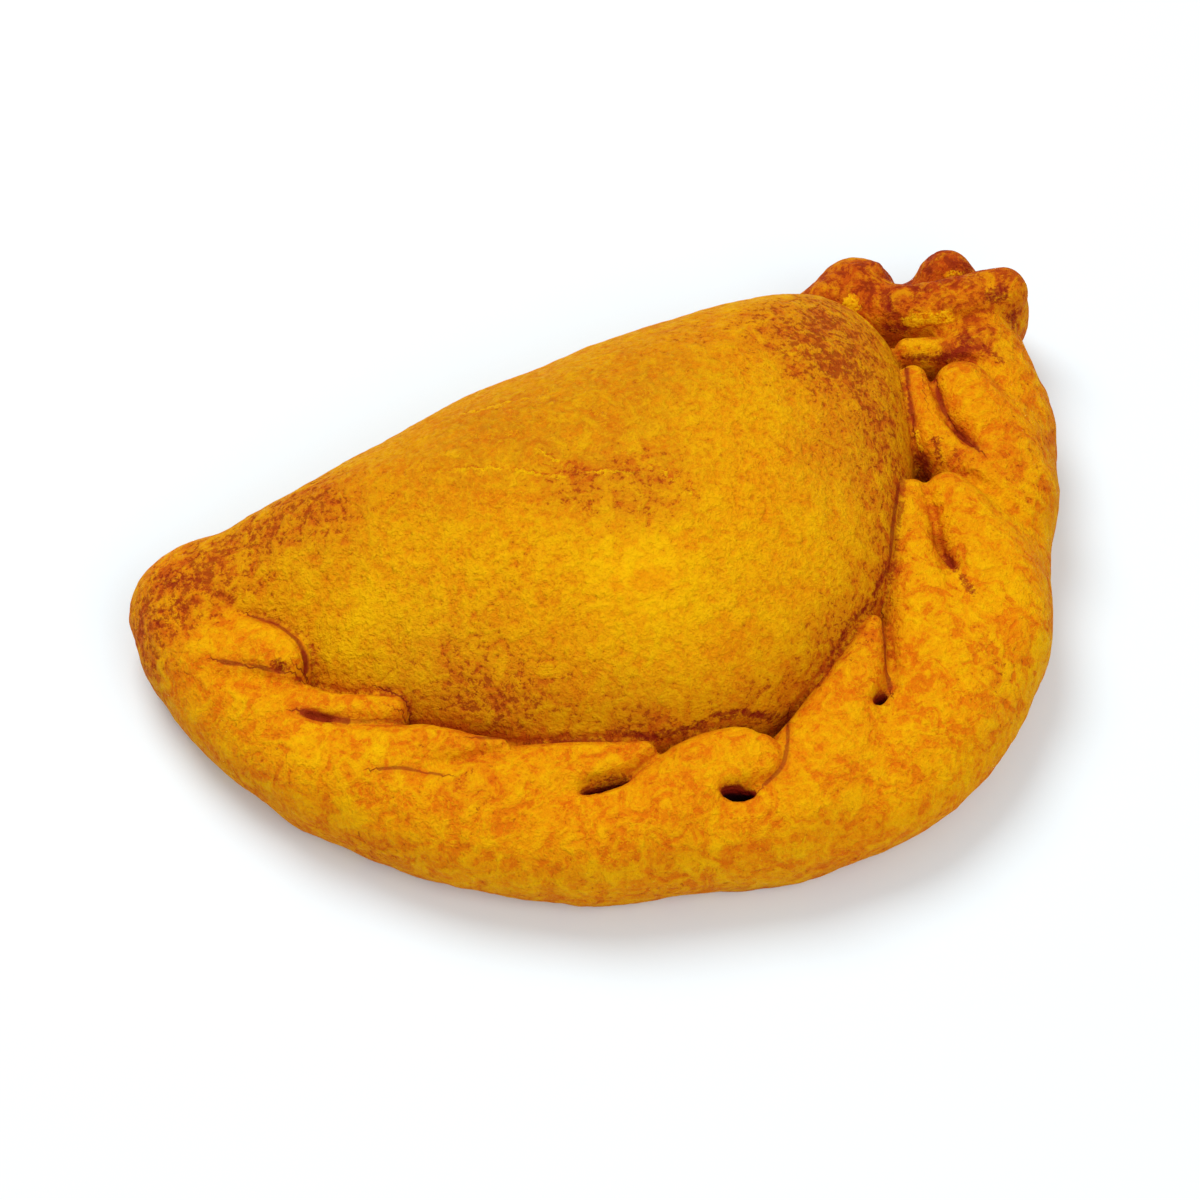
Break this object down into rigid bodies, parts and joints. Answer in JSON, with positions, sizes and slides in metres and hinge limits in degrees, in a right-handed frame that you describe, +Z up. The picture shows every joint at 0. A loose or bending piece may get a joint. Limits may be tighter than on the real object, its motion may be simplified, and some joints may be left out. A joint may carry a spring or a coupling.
{
  "type": "empanada",
  "caption": "Baked half-moon empanada: a filled pillow of crust with a rounded folded back edge and a rolled rim braided into overlapping folds that end in a knot.",
  "frame": {"origin": "centre of the bounding box in plan, on the flat bottom the pastry rests on", "axes": "+X along the folded back edge, from the plain tip to the knot; +Y from the braided rim to the folded back edge; +Z up"},
  "size_m": [0.1516, 0.0952, 0.037],
  "materials": {
    "crust": "baked egg-washed dough, golden yellow with orange-brown speckles, satin"
  },
  "bodies": {
    "root": {"crust": "crust"}
  },
  "joints": []
}
